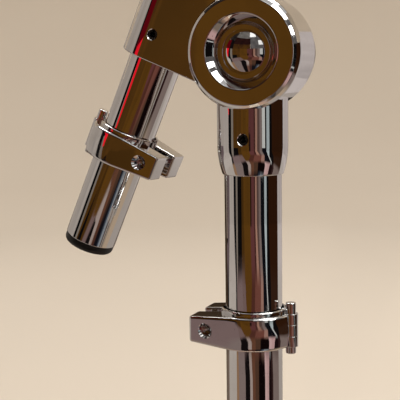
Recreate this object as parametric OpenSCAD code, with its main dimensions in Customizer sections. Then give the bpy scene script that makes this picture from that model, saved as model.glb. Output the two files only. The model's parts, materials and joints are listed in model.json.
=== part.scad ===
// Tubular tom arm: an upright post carries a round tilter, a second tube swings on the tilter,
// and a hinged stop lock on each tube keeps its depth in whatever holder grips that tube.
// Origin: on the post's axis, halfway along the stretch that a holder grips. +Z is up the post,
// -Y is the side that the tilter bolt's domed head faces.

/* [Tubes] */
// Outer diameter of both tubes
tube_d = 22.2; // [20:0.1:24]
// Wall thickness of both tubes
tube_wall = 2; // [1.5:0.25:3]
// Free length of the post below its stop lock
grip_len = 136; // [80:1:220]
// Free length of the arm tube below its stop lock
arm_grip_len = 37.2; // [25:0.1:150]
// Visible length of a plastic end plug
plug_lip = 4; // [3:0.5:8]
// Length of a plug's stem inside its tube
plug_stem = 12; // [8:1:20]

/* [Post casting] */
// Diameter of the tilter disc
disc_d = 44; // [43:0.5:50]
// From the post's axis to the disc's front face
disc_front = 15; // [14.5:0.5:18]
// From the post's axis to the disc's back face
disc_back = 11; // [10:0.5:14]
// Chamfer of the disc's front rim
disc_chamfer = 2; // [0.5:0.1:2.5]
// Wall of the collar round the post
collar_wall = 2.5; // [2:0.1:3.2]
// Wall left at the collar's lower edge
collar_tip_wall = 0.6; // [0.4:0.1:1.5]
// Height of the collar's rounded taper
collar_taper = 11.5; // [6:0.5:14]
// From the tilter's axis down to the collar's lower edge
collar_reach = 46.5; // [42:0.5:60]
// From the collar's lower edge up to its cross pin
post_pin_rise = 13.9; // [8:0.1:18]

/* [Arm casting] */
// Lean of the arm tube from the upright
arm_tilt = 22.9; // [0:0.1:60]
// From the tilter's axis to the arm tube's axis
arm_off = 45.2; // [42:0.1:60]
// Wall of the socket round the arm tube
socket_wall = 3.6; // [3:0.1:5]
// Half the length of the socket along the arm tube
arm_half = 20.8; // [18:0.1:21]
// Running gap between the two castings' faces
face_gap = 0.3; // [0.2:0.05:0.6]
// From the socket's lower edge up to its cross pin
arm_pin_rise = 10.7; // [7:0.1:14]
// Cross pin diameter
pin_d = 4; // [3:0.5:5]

/* [Tilter bolt] */
// Bolt shank diameter
bolt_d = 8; // [6:0.5:9]
// Diameter of the bolt's domed head
dome_d = 16.8; // [14:0.1:18]
// Height of the domed head above its flange
dome_h = 3.1; // [2.5:0.1:7]
// Radius of the ball that rounds the head's top
dome_ball_r = 13; // [9:0.5:15]
// Diameter of the flange round the dome
flange_d = 21; // [19:0.5:22]
// Thickness of the flange
flange_t = 1.5; // [1:0.1:2]
// Depth of the recess that the head sits in
recess_depth = 5; // [4.6:0.1:8]
// Diameter of the recess at the disc's face
recess_d = 28.2; // [26:0.2:32]
// Depth of the recess's sloping wall, below which it runs straight
recess_slope = 3.5; // [2:0.1:4.5]
// Wing nut span
wing_span = 38; // [32:1:48]
// Wing nut hub length
nut_h = 10; // [8:0.5:14]

/* [Stop locks] */
// From the collar's lower edge to the middle of the post's stop lock
post_lock_drop = 60.5; // [30:0.5:90]
// From the socket's lower edge to the middle of the arm's stop lock
arm_lock_drop = 40.2; // [25:0.1:80]
// Turn of the post's stop lock about its tube
post_lock_turn = 4; // [-20:1:30]
// Turn of the arm's stop lock about its tube
arm_lock_turn = 6; // [-20:1:30]
// Height of a stop lock's band
lock_h = 13; // [11:0.5:16]
// Wall of the band round its tube
lock_wall = 4.6; // [4:0.1:5.5]
// From the tube's axis to the end of the ears
ear_reach = 22.6; // [21.5:0.1:26]
// Height of the ears at their end
ear_h = 10; // [9:0.1:11]
// Taper angle of the ears' outer faces
ear_taper = 8; // [4:0.5:10]
// Gap between the two ears
ear_gap = 6.4; // [5:0.2:8]
// Height of the raised ring on a stop lock
ring_h = 1.6; // [0.8:0.1:3]
// Wall of the raised ring
ring_wall = 1.7; // [1:0.1:2.5]
// Key bolt diameter
key_d = 5; // [4:0.5:5]
// From the tube's axis to the key bolt's axis
key_off = 15.8; // [15.5:0.1:17]
// Hinge pin diameter
hinge_d = 4; // [3:0.2:4.4]
// Hinge pin length above the band
hinge_rise = 4.3; // [1:0.1:8]
// Hinge pin length below the band
hinge_drop = 2.9; // [0:0.1:5]

/* [Hidden] */
$fn = 96;
chrome = [0.78, 0.78, 0.80];
steel = [0.62, 0.63, 0.65];
plastic = [0.06, 0.06, 0.065];
eps = 0.01;             // overcut, so that a cut passes its face
socket_fit = 0.05;      // radial clearance of a tube in its casting
plug_fit = 0.05;        // radial clearance of a plug's stem in its tube
plug_inset = 0.2;       // a plug's lip is this much under the tube
plug_round = 2.2;       // rounding of a plug's end
pin_fit = 0.03;         // radial clearance round a cross pin
pin_recess = 1;         // depth of a cross pin below the casting's surface
pin_wall = 0.8;         // wall of a cross pin, which is a rolled tube
pin_slot = 0.5;         // gap between the rolled pin's edges
groove_w = 0.8;         // witness groove hidden under a stop lock's lower edge
groove_t = 0.25;        // depth of that groove
groove_show = 0.1;      // how much of the groove shows below the lock
plug_shell = 2.95;      // wall of a plug's hollow stem
tube_r = tube_d / 2;
tube_in_r = tube_r - tube_wall;
collar_r = tube_r + socket_fit + collar_wall;
disc_r = disc_d / 2;
socket_r = tube_r + socket_fit + socket_wall;
socket_bore_r = tube_r + socket_fit;

// Heights, from the middle of the grip stretch
lock_z = grip_len / 2 + groove_show + lock_h / 2;
disc_z = lock_z + post_lock_drop + collar_reach;
post_top_wall = 1;                              // metal between the post's end and the disc's rim
post_top_z = disc_z - disc_r - post_top_wall;
post_bottom_z = -grip_len / 2;
collar_z = disc_z - collar_reach;
post_pin_z = collar_z + post_pin_rise;

// The arm, in its own frame: origin on the tilter's axis, +Z up the arm tube
arm_face_y = disc_back + face_gap;
arm_depth = arm_face_y + socket_r;
arm_lock_z = -(arm_half + arm_lock_drop);
arm_grip_top = arm_lock_z - lock_h / 2 - groove_show;
arm_bottom_z = arm_grip_top - arm_grip_len;
arm_top_wall = 4.8;                             // closed end of the socket
arm_tube_top = arm_half - arm_top_wall;
arm_pin_z = -arm_half + arm_pin_rise;

// Tilter, along +Y from the post's axis
bolt_r = bolt_d / 2;
bolt_fit = 0.07;        // running fit of the arm casting and the nut on the bolt
head_seat_y = -disc_front + recess_depth;
head_room = 0.5;        // between the bolt's flange and the recess's wall
recess_floor_r = flange_d / 2 + head_room;
neck_w = bolt_d * 1.05;                         // square neck that stops the bolt turning
neck_len = 5;
neck_fit = 0.1;
cavity_r = 9.5;         // spring cavity in both castings
cavity_floor_y = -1;
cavity_depth = 7.7;     // of the half in the arm casting
cavity_end_y = arm_face_y + cavity_depth;
ring_in_r = 11.5;       // ratchet rings
ring_out_r = disc_r - 3;
ring_base = 1.6;
ring_fit = 0.05;
tooth_h = 0.8;
tooth_w = 1.3;
tooth_gap = 0.1;        // each ring's tips stand this far inside its casting's face
tooth_count = 36;
tooth_inset = 0.5;      // a tooth's ends stop this far inside its ring
ring_seat = tooth_gap + tooth_h + ring_base;    // depth of a ring's seat in its casting
ring_seat_r = ring_in_r - 0.5;
spring_wire = 1.6;
spring_turns = 5;
spring_room = 0.5;      // between the spring and its cavity's wall
spring_r = cavity_r - spring_room - spring_wire / 2;
washer_gap = 0.06;
washer_t = 2;
nut_travel = 2.5;       // how far the wing nut backs off
nut_wall = 3.6;         // wall of the wing nut's hub at its base
nut_draft = 1.5;        // the hub is this much thinner at its end
nut_bolt_show = 1.5;    // the bolt's end stands this far out of a backed-off nut
wing_t = 4;
wing_tip_r = 6.5;
wing_lift = 3;          // the wings' tips lie this far past the hub's base

// Arm casting's hub, behind the tilter disc, and the web from it to the socket
hub_r = disc_r - 0.4;
hub_len = 24.7;
hub_back_y = arm_face_y + hub_len;
hub_edge = 0.4;         // rounding of the hub's face
hub_edge_len = 1.5;
hub_waist_r = hub_r - 3.6;
hub_waist_len = 6;      // the hub narrows fast over this length at its back
hub_end_r = hub_r - 7;
hub_end_edge = 1;
boss_r = 12;            // raised seat of the clamp washer
boss_h = 0.5;
web_x = -4;             // where the web starts, inside the hub
web_waist_x = -18;      // where it has its full depth
web_waist_inset = 2;
web_start_depth = 11;
washer_y = hub_back_y + boss_h + washer_gap;
washer_r = boss_r - 1;
nut_y = washer_y + washer_t + washer_gap;
bolt_end_y = nut_y + nut_h + nut_travel + nut_bolt_show;

// Stop lock, in its own frame: +Z up its tube, +X towards the ears, +Y the threaded half
lock_fit = 0.06;        // radial clearance of a stop lock on its tube
lock_bore_r = tube_r + lock_fit;
band_r = tube_r + lock_wall;
hinge_inset = 0.5;                              // the hinge pin's axis lies this far inside the band
hinge_x = band_r - hinge_inset;                 // hinge pin's distance from the tube's axis
hinge_r = hinge_d / 2;
hinge_fit = 0.04;
knuckle_wall = 0.8;
knuckle_r = hinge_r + knuckle_wall;
knuckle_half = lock_h * 0.17;                   // half the height of the middle knuckle
knuckle_gap = 0.15;
hinge_split = 0.9;                              // gap between the halves at the hinge
ear_start = 4;                                  // where the ears' height begins to taper
key_r = key_d / 2;
key_fit = 0.05;
key_slack = 0.8;                                // room round the bolt in the rear ear
spot_r = 5.6;                                   // flat seat for the washer
function face_y(x) = (band_r - x * sin(ear_taper)) / cos(ear_taper);
spot_y = face_y(key_off + spot_r);
key_washer_t = 1;
key_washer_r = 4.8;
key_seat_y = spot_y + washer_gap;
key_head_y = key_seat_y + key_washer_t + washer_gap;
key_flange_t = 1.5;
key_flange_r = 4.2;
key_square = 5.6;
key_square_h = 6.5;
key_tip_inset = 2.2;                            // the bolt's tip stops this far inside its thread
csk_h = 0.65;                                   // chamfer at the mouth of the thread

// A cylinder along Y from y0 to y1
module along_y(r, y0, y1) {
    translate([0, y0, 0]) rotate([-90, 0, 0]) cylinder(r = r, h = y1 - y0);
}

// Turns a profile drawn as (radius, distance along Y) about the Y axis
module turned_y() {
    rotate([90, 0, 0]) rotate_extrude() mirror([0, 1]) children();
}

module at_tilter() {
    translate([0, 0, disc_z]) children();
}

module in_arm() {
    at_tilter() rotate([0, arm_tilt, 0]) children();
}

module on_arm_tube() {
    in_arm() translate([-arm_off, arm_depth, 0]) children();
}

module at_post_lock() {
    translate([0, 0, lock_z]) rotate(180 - post_lock_turn) children();
}

module at_arm_lock() {
    on_arm_tube() translate([0, 0, arm_lock_z]) rotate(-arm_lock_turn) mirror([0, 1, 0]) children();
}

// A tube from z0 to z1, cross drilled for its pin, with a fine groove from groove_z up
module tube(z0, z1, groove_z, pin_z) {
    difference() {
        translate([0, 0, z0]) cylinder(r = tube_r, h = z1 - z0);
        translate([0, 0, z0 - eps]) cylinder(r = tube_in_r, h = z1 - z0 + 2 * eps);
        translate([0, 0, pin_z]) along_y(pin_d / 2 + pin_fit, -tube_d, tube_d);
        translate([0, 0, groove_z]) difference() {
            cylinder(r = tube_r + 1, h = groove_w);
            translate([0, 0, -eps]) cylinder(r = tube_r - groove_t, h = groove_w + 2 * eps);
        }
    }
}

// A plastic plug in the lower end of a tube, which ends at z = 0
module end_plug() {
    lip_r = tube_r - plug_inset;
    rotate_extrude() difference() {
        union() {
            translate([0, -plug_lip + plug_round]) square([lip_r, plug_lip - plug_round]);
            translate([0, -plug_lip]) square([lip_r - plug_round, plug_lip]);
            intersection() {
                translate([lip_r - plug_round, -plug_lip + plug_round]) circle(r = plug_round);
                translate([0, -plug_lip]) square([lip_r, plug_round]);
            }
            translate([0, -eps]) square([tube_in_r - plug_fit, plug_stem]);
        }
        square([tube_in_r - plug_fit - plug_shell, plug_stem + 1]);
    }
}

// A rolled spring pin along Y through a tube and its casting
module cross_pin(outer_r) {
    half = outer_r - pin_recess;
    difference() {
        along_y(pin_d / 2, -half, half);
        along_y(pin_d / 2 - pin_wall, -half - eps, half + eps);
        translate([-pin_slot / 2, -half - eps, 0]) cube([pin_slot, 2 * half + 2 * eps, pin_d]);
    }
}

// Ratchet ring whose teeth point along +Y, its back face at y = 0
module ratchet_ring() {
    difference() {
        union() {
            along_y(ring_out_r - ring_fit, 0, ring_base);
            for (i = [0 : tooth_count - 1]) rotate([0, i * 360 / tooth_count, 0])
                translate([ring_in_r + tooth_inset, ring_base - eps, -tooth_w / 2])
                    cube([ring_out_r - ring_in_r - 2 * tooth_inset, tooth_h + eps, tooth_w]);
        }
        along_y(ring_in_r, -1, ring_base + tooth_h + 1);
    }
}

// Coil spring along Y: rings of points swept along a helix
module coil_spring(y0, y1) {
    steps = 20;
    sides = 8;
    count = spring_turns * steps;
    rise = y1 - y0 - spring_wire;
    pts = [for (i = [0 : count], j = [0 : sides - 1])
        let (a = i * 360 / steps, b = j * 360 / sides, r = spring_r + spring_wire / 2 * cos(b))
        [r * cos(a), y0 + spring_wire / 2 + rise * i / count + spring_wire / 2 * sin(b), r * sin(a)]];
    walls = [for (i = [0 : count - 1], j = [0 : sides - 1])
        let (k = (j + 1) % sides)
        [i * sides + j, (i + 1) * sides + j, (i + 1) * sides + k, i * sides + k]];
    first = [for (j = [0 : sides - 1]) j];
    last = [for (j = [sides - 1 : -1 : 0]) count * sides + j];
    polyhedron(points = pts, faces = concat([first], walls, [last]), convexity = 6);
}

// Plan outline of a closed stop lock
module lock_outline() {
    circle(r = band_r);
    for (s = [0, 1]) mirror([0, s]) polygon([
        [0, 0],
        [band_r * sin(ear_taper), band_r * cos(ear_taper)],
        [ear_reach, face_y(ear_reach)],
        [ear_reach, 0]
    ]);
}

// Side outline of a stop lock: full height round the tube, lower at the ears' end
module lock_side() {
    polygon([
        [-band_r - 5, -lock_h / 2], [ear_start, -lock_h / 2], [ear_reach + 1, -ear_h / 2],
        [ear_reach + 1, ear_h / 2], [ear_start, lock_h / 2], [-band_r - 5, lock_h / 2]
    ]);
}

// One half of a stop lock, on the +Y side, without its hinge knuckles or bolt hole
module lock_half_blank() {
    difference() {
        union() {
            intersection() {
                translate([0, 0, -lock_h]) linear_extrude(2 * lock_h) lock_outline();
                translate([0, band_r + 5, 0]) rotate([90, 0, 0])
                    linear_extrude(2 * band_r + 10) lock_side();
            }
            cylinder(r = lock_bore_r + ring_wall, h = lock_h / 2 + ring_h);
        }
        translate([0, 0, -lock_h]) cylinder(r = lock_bore_r, h = 2 * lock_h + ring_h);
        translate([-2 * band_r, -2 * band_r, -lock_h])
            cube([4 * band_r, 2 * band_r + hinge_split / 2, 3 * lock_h]);
        translate([0, -1, -lock_h]) cube([2 * band_r, 1 + ear_gap / 2, 3 * lock_h]);
    }
}

// Space or metal round the hinge pin between two heights
module at_hinge(r, z0, z1) {
    translate([-hinge_x, 0, z0]) cylinder(r = r, h = z1 - z0);
}

// Half with the upper and lower knuckles and the bolt's thread
module lock_front_half() {
    difference() {
        union() {
            difference() {
                lock_half_blank();
                at_hinge(knuckle_r + knuckle_gap, -knuckle_half - knuckle_gap, knuckle_half + knuckle_gap);
            }
            at_hinge(knuckle_r, knuckle_half + knuckle_gap, lock_h / 2);
            at_hinge(knuckle_r, -lock_h / 2, -knuckle_half - knuckle_gap);
        }
        at_hinge(hinge_r, -lock_h, lock_h);
        translate([0, 0, -lock_h]) cylinder(r = lock_bore_r, h = 3 * lock_h);
        translate([key_off, 0, 0]) along_y(key_r + key_fit, 0, 2 * band_r);
        translate([key_off, face_y(key_off) - csk_h, 0]) rotate([-90, 0, 0])
            cylinder(r1 = key_r + key_fit, r2 = key_r + key_fit + 2 * csk_h, h = 2 * csk_h);
    }
}

// Half with the middle knuckle, the bolt's clearance hole and the washer's flat
module lock_rear_half() {
    mirror([0, 1, 0]) difference() {
        union() {
            difference() {
                lock_half_blank();
                at_hinge(knuckle_r + knuckle_gap, knuckle_half, 2 * lock_h);
                at_hinge(knuckle_r + knuckle_gap, -2 * lock_h, -knuckle_half);
            }
            at_hinge(knuckle_r, -knuckle_half, knuckle_half);
        }
        at_hinge(hinge_r + hinge_fit, -lock_h, lock_h);
        translate([0, 0, -lock_h]) cylinder(r = lock_bore_r, h = 3 * lock_h);
        translate([key_off, 0, 0]) along_y(key_r + key_slack, 0, 2 * band_r);
        translate([key_off, 0, 0]) along_y(spot_r, spot_y, 2 * band_r);
    }
}

module lock_hinge_pin() {
    at_hinge(hinge_r, -lock_h / 2 - hinge_drop, lock_h / 2 + hinge_rise);
}

module lock_washer() {
    translate([key_off, 0, 0]) mirror([0, 1, 0]) difference() {
        along_y(key_washer_r, key_seat_y, key_seat_y + key_washer_t);
        along_y(key_r + key_fit, key_seat_y - 1, key_seat_y + key_washer_t + 1);
    }
}

// Square-headed key bolt: head behind the rear ear, tip inside the front ear's thread
module lock_key_bolt() {
    tip = face_y(key_off) - key_tip_inset;
    translate([key_off, 0, 0]) {
        along_y(key_r, -key_head_y - eps, tip);
        along_y(key_flange_r, -key_head_y - key_flange_t, -key_head_y);
        translate([-key_square / 2, -key_head_y - key_flange_t - key_square_h, -key_square / 2])
            cube([key_square, key_square_h + eps, key_square]);
    }
}

module post_tube() {
    color(chrome) tube(post_bottom_z, post_top_z, grip_len / 2, post_pin_z);
}

module post_end_plug() {
    color(plastic) translate([0, 0, post_bottom_z]) end_plug();
}

// Half profile of the tilter disc: radius across, distance along Y up
module disc_profile() {
    difference() {
        polygon([
            [0, -disc_front], [disc_r - disc_chamfer, -disc_front], [disc_r, -disc_front + disc_chamfer],
            [disc_r, disc_back], [0, disc_back]
        ]);
        polygon([
            [0, -disc_front - 1], [recess_d / 2, -disc_front - 1], [recess_d / 2, -disc_front],
            [recess_floor_r, -disc_front + recess_slope], [recess_floor_r, head_seat_y], [0, head_seat_y]
        ]);
        translate([0, cavity_floor_y]) square([cavity_r, 2 * disc_back]);
        translate([ring_seat_r, disc_back - ring_seat]) square([ring_out_r - ring_seat_r, 2 * ring_seat]);
    }
}

// Collar with a rounded taper down to a thin lower edge
module collar() {
    tip_r = tube_r + socket_fit + collar_tip_wall;
    inset = collar_r - tip_r;
    arc_r = (collar_taper * collar_taper + inset * inset) / (2 * inset);
    translate([0, 0, collar_z]) rotate_extrude() {
        translate([0, collar_taper]) square([collar_r, collar_reach - collar_taper]);
        intersection() {
            square([collar_r, collar_taper + eps]);
            translate([collar_r - arc_r, collar_taper]) circle(r = arc_r, $fn = 360);
        }
    }
}

module post_casting() {
    color(chrome) difference() {
        union() {
            at_tilter() turned_y() disc_profile();
            difference() {
                collar();
                at_tilter() along_y(disc_r - 1, -2 * collar_r, 2 * collar_r);
                translate([-2 * collar_r, disc_back, disc_z - disc_r - post_top_wall / 2])
                    cube([4 * collar_r, collar_r, 2 * disc_r]);
            }
        }
        translate([0, 0, collar_z - 1]) cylinder(r = socket_bore_r, h = post_top_z - collar_z + 1);
        at_tilter() translate([-neck_w / 2 - neck_fit, head_seat_y - eps, -neck_w / 2 - neck_fit])
            cube([neck_w + 2 * neck_fit, cavity_floor_y - head_seat_y + 2 * eps, neck_w + 2 * neck_fit]);
        translate([0, 0, post_pin_z]) along_y(pin_d / 2 + pin_fit, -collar_r - 1, collar_r + 1);
    }
}

module post_cross_pin() {
    color(steel) translate([0, 0, post_pin_z]) cross_pin(collar_r);
}

// Domed head, flange, square neck and shank of the tilter bolt
module tilter_bolt() {
    color(chrome) at_tilter() {
        turned_y() {
            translate([0, head_seat_y - flange_t]) square([flange_d / 2, flange_t]);
            intersection() {
                translate([0, head_seat_y - flange_t - dome_h]) square([dome_d / 2, dome_h + eps]);
                translate([0, head_seat_y - flange_t - dome_h + dome_ball_r]) circle(r = dome_ball_r);
            }
        }
        translate([-neck_w / 2, head_seat_y - eps, -neck_w / 2]) cube([neck_w, neck_len, neck_w]);
        along_y(bolt_r, head_seat_y, bolt_end_y);
    }
}

module front_ratchet_ring() {
    color(steel) at_tilter()
        translate([0, disc_back - ring_seat, 0]) ratchet_ring();
}

module rear_ratchet_ring() {
    color(steel) in_arm() translate([0, arm_face_y + ring_seat, 0]) mirror([0, 1, 0]) ratchet_ring();
}

module tilter_spring() {
    color(steel) at_tilter() coil_spring(cavity_floor_y, cavity_end_y - face_gap);
}

// Socket and web of the arm casting, seen from above the socket: across, distance along Y
module arm_web_outline() {
    translate([-arm_off, arm_depth]) circle(r = socket_r);
    polygon([
        [-arm_off, arm_face_y], [web_x, arm_face_y], [web_x, arm_face_y + web_start_depth],
        [web_waist_x, hub_back_y - web_waist_inset], [-arm_off, arm_depth + socket_r]
    ]);
}

// Half profile of the arm casting's hub: radius across, distance along Y up
module hub_profile() {
    polygon([
        [0, arm_face_y], [hub_r - hub_edge, arm_face_y], [hub_r, arm_face_y + hub_edge_len],
        [hub_waist_r, hub_back_y - hub_waist_len], [hub_end_r, hub_back_y - hub_end_edge],
        [boss_r, hub_back_y], [boss_r, hub_back_y + boss_h], [0, hub_back_y + boss_h]
    ]);
}

module arm_casting() {
    color(chrome) in_arm() difference() {
        union() {
            translate([0, 0, -arm_half]) linear_extrude(2 * arm_half) arm_web_outline();
            turned_y() hub_profile();
        }
        translate([-arm_off, arm_depth, -arm_half - 1])
            cylinder(r = socket_bore_r, h = arm_tube_top + arm_half + 1);
        along_y(bolt_r + bolt_fit, 0, 2 * hub_back_y);
        along_y(cavity_r, arm_face_y - 1, cavity_end_y);
        difference() {
            along_y(ring_out_r, arm_face_y - 1, arm_face_y + ring_seat);
            along_y(ring_seat_r, 0, 2 * arm_face_y);
        }
        translate([-arm_off, arm_depth, arm_pin_z])
            along_y(pin_d / 2 + pin_fit, -socket_r - 1, socket_r + 1);
    }
}

module arm_tube() {
    color(chrome) on_arm_tube() tube(arm_bottom_z, arm_tube_top, arm_grip_top, arm_pin_z);
}

module arm_end_plug() {
    color(plastic) on_arm_tube() translate([0, 0, arm_bottom_z]) end_plug();
}

module arm_cross_pin() {
    color(steel) on_arm_tube() translate([0, 0, arm_pin_z]) cross_pin(socket_r);
}

module clamp_washer() {
    color(chrome) at_tilter() difference() {
        along_y(washer_r, washer_y, washer_y + washer_t);
        along_y(bolt_r + bolt_fit, washer_y - 1, washer_y + washer_t + 1);
    }
}

// Hub with two upright wings, on the end of the tilter bolt
module wing_nut() {
    hub = bolt_r + nut_wall;
    tip_z = wing_span / 2 - wing_tip_r;         // centre of a wing's round tip
    color(chrome) at_tilter() difference() {
        union() {
            translate([0, nut_y, 0]) rotate([-90, 0, 0]) cylinder(r1 = hub, r2 = hub - nut_draft, h = nut_h);
            for (s = [-1, 1]) translate([-wing_t / 2, 0, 0]) rotate([90, 0, 90]) linear_extrude(wing_t) {
                translate([nut_y + wing_tip_r + wing_lift, s * tip_z]) circle(r = wing_tip_r);
                polygon([
                    [nut_y + 1, 0], [nut_y + nut_h - 1, 0],
                    [nut_y + nut_h + wing_lift, s * (tip_z - wing_lift)], [nut_y + wing_lift, s * tip_z]
                ]);
            }
        }
        along_y(bolt_r + bolt_fit, nut_y - 1, bolt_end_y + nut_travel);
    }
}

module post_lock_front() { color(chrome) at_post_lock() lock_front_half(); }
module post_lock_rear() { color(chrome) at_post_lock() lock_rear_half(); }
module post_lock_hinge_pin() { color(chrome) at_post_lock() lock_hinge_pin(); }
module post_lock_washer() { color(steel) at_post_lock() lock_washer(); }
module post_lock_key_bolt() { color(chrome) at_post_lock() lock_key_bolt(); }
module arm_lock_front() { color(chrome) at_arm_lock() lock_front_half(); }
module arm_lock_rear() { color(chrome) at_arm_lock() lock_rear_half(); }
module arm_lock_hinge_pin() { color(chrome) at_arm_lock() lock_hinge_pin(); }
module arm_lock_washer() { color(steel) at_arm_lock() lock_washer(); }
module arm_lock_key_bolt() { color(chrome) at_arm_lock() lock_key_bolt(); }

post_tube();
post_end_plug();
post_casting();
post_cross_pin();
tilter_bolt();
front_ratchet_ring();
rear_ratchet_ring();
tilter_spring();
arm_casting();
arm_tube();
arm_end_plug();
arm_cross_pin();
clamp_washer();
wing_nut();
post_lock_front();
post_lock_rear();
post_lock_hinge_pin();
post_lock_washer();
post_lock_key_bolt();
arm_lock_front();
arm_lock_rear();
arm_lock_hinge_pin();
arm_lock_washer();
arm_lock_key_bolt();
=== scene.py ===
import json
import math

import bmesh
import bpy
from mathutils import Matrix, Vector


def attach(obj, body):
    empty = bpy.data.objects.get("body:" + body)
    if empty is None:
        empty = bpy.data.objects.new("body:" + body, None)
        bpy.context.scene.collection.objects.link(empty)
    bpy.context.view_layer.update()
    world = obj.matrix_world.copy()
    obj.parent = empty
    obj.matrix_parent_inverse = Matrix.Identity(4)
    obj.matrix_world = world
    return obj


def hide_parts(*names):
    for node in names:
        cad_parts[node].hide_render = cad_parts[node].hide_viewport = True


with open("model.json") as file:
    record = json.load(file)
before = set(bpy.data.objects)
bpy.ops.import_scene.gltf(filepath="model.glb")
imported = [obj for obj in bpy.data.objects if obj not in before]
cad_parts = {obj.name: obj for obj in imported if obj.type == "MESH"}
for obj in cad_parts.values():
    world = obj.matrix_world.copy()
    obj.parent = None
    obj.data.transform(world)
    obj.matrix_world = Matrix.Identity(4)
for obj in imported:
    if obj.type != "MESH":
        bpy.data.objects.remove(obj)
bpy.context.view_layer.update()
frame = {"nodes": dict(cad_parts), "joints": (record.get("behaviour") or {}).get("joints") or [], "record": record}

mm = 0.001  # shapes are drawn in millimetres and placed in metres
joints = {joint["name"]: joint for joint in frame["joints"]}
mounts = {mount["name"]: mount for mount in frame["record"]["mounts"]}
tubeRadius = mounts["post_grip"]["dims"]["r_mm"]  # both tubes are alike
around = {"tube": 200, "bore": 180, "ring": 160, "hole": 96, "pin": 64}  # faces round a turned shape
overcut = 1.0  # how far a cutting tool starts outside what it cuts
sharpAngle = 32.0  # edges steeper than this many degrees stay sharp

# the frames that the pieces are drawn in
alongY = Matrix.Rotation(math.radians(-90), 4, "X")
row = Matrix.Identity(4)
tilter = Vector(joints["arm_tilt"]["pos_m"])
atTilter = Matrix.Translation(tilter)
armDown = Vector(mounts["arm_grip"]["axis"])
inArm = atTilter @ Matrix.Rotation(math.atan2(-armDown.x, -armDown.z), 4, "Y")
armGrip = inArm.inverted() @ Vector(mounts["arm_grip"]["pos_m"])
onArmTube = inArm @ Matrix.Translation((armGrip.x, armGrip.y, 0))


def lockFrame(lock, axisPoint, up):
    # x towards the key bolt, y towards the threaded half, z up the tube
    key = Vector(joints[lock + "_key_spin"]["pos_m"])
    centre = axisPoint + up * (key - axisPoint).dot(up)
    toKey = (key - centre).normalized()
    front = -Vector(joints[lock + "_key_spin"]["axis"])
    axes = Matrix((toKey, front, up)).transposed()
    return Matrix.Translation(centre) @ axes.to_4x4()


lockFrames = {
    "post_lock": lockFrame("post_lock", Vector((0, 0, 0)), Vector((0, 0, 1))),
    "arm_lock": lockFrame("arm_lock", onArmTube.translation, -armDown),
}


def span(node, place=row):
    # lowest and highest corner of a CAD node in one of those frames, in millimetres
    back = place.inverted()
    points = [back @ vertex.co / mm for vertex in frame["nodes"][node].data.vertices]
    low = Vector([min(point[i] for point in points) for i in range(3)])
    high = Vector([max(point[i] for point in points) for i in range(3)])
    return low, high


def arc(centre, radius, start, end, steps):
    # points on a round stretch, with angles in degrees and no rounding of their own
    turns = [math.radians(start + (end - start) * i / steps) for i in range(steps + 1)]
    return [(centre[0] + radius * math.cos(t), centre[1] + radius * math.sin(t), 0) for t in turns]


def wire(points, lift, closed):
    # a line of edges whose corners are rounded by the third number of each point
    shape = bmesh.new()
    corners = [shape.verts.new(lift(out, up)) for out, up, _ in points]
    for first, second in zip(corners, corners[1:]):
        shape.edges.new((first, second))
    if closed:
        shape.edges.new((corners[-1], corners[0]))
    for corner, (_, _, rounding) in zip(corners, points):
        if rounding:
            bmesh.ops.bevel(shape, geom=[corner], offset=rounding, offset_type="OFFSET", segments=6,
                            profile=0.5, affect="VERTICES", material=-1, clamp_overlap=True)
    return shape


def turned(profile, steps=around["ring"]):
    # a profile of (radius, height, rounding) turned about Z
    closed = profile[0][0] > 0 or profile[-1][0] > 0
    shape = wire(profile, lambda out, up: (out, 0, up), closed)
    bmesh.ops.spin(shape, geom=shape.verts[:] + shape.edges[:], cent=(0, 0, 0), axis=(0, 0, 1),
                   angle=math.tau, steps=steps, use_merge=True)
    bmesh.ops.remove_doubles(shape, verts=shape.verts[:], dist=0.0005)
    bmesh.ops.recalc_face_normals(shape, faces=shape.faces[:])
    return shape


def slab(outline, low, high, edge, segments=4):
    # a closed outline of (x, y, rounding) raised from low to high, with its rims rounded
    shape = wire(outline, lambda out, up: (out, up, low), True)
    made = bmesh.ops.edgeloop_fill(shape, edges=shape.edges[:])
    raised = bmesh.ops.extrude_face_region(shape, geom=made["faces"])
    top = [part for part in raised["geom"] if isinstance(part, bmesh.types.BMVert)]
    bmesh.ops.translate(shape, verts=top, vec=(0, 0, high - low))
    bmesh.ops.recalc_face_normals(shape, faces=shape.faces[:])
    if edge:
        rims = [e for e in shape.edges if abs(e.verts[0].co.z - e.verts[1].co.z) < 1e-6]
        bmesh.ops.bevel(shape, geom=rims, offset=edge, offset_type="OFFSET", segments=segments,
                        profile=0.5, affect="EDGES", material=-1, clamp_overlap=False)
    return shape


def thread(radius, depth, pitch, low, high):
    # the flanks of a screw thread between two heights of a profile
    points = []
    for i in range(int((high - low) / pitch)):
        foot = low + i * pitch
        points += [(radius, foot, 0), (radius + depth, foot + pitch * 0.42, 0),
                   (radius + depth, foot + pitch * 0.58, 0), (radius, foot + pitch, 0)]
    return [point for i, point in enumerate(points) if i == 0 or point != points[i - 1]]


def moved(shape, matrix):
    # puts a working shape elsewhere, and keeps its faces pointing outwards
    bmesh.ops.transform(shape, matrix=matrix, verts=shape.verts[:])
    if matrix.determinant() < 0:
        bmesh.ops.reverse_faces(shape, faces=shape.faces[:])
    return shape


def rod(radius, low, high, edge=0.0, steps=around["hole"]):
    # a plain round bar along Z
    return turned([(0, low, 0), (radius, low, edge), (radius, high, edge), (0, high, 0)], steps)


def across(radius, low, high, edge=0.0, steps=around["hole"]):
    # a plain round bar along Y
    return moved(rod(radius, low, high, edge, steps), alongY)


def block(low, high):
    corners = [(low[0], low[1], 0), (high[0], low[1], 0), (high[0], high[1], 0), (low[0], high[1], 0)]
    return slab(corners, low[2], high[2], 0)


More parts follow.
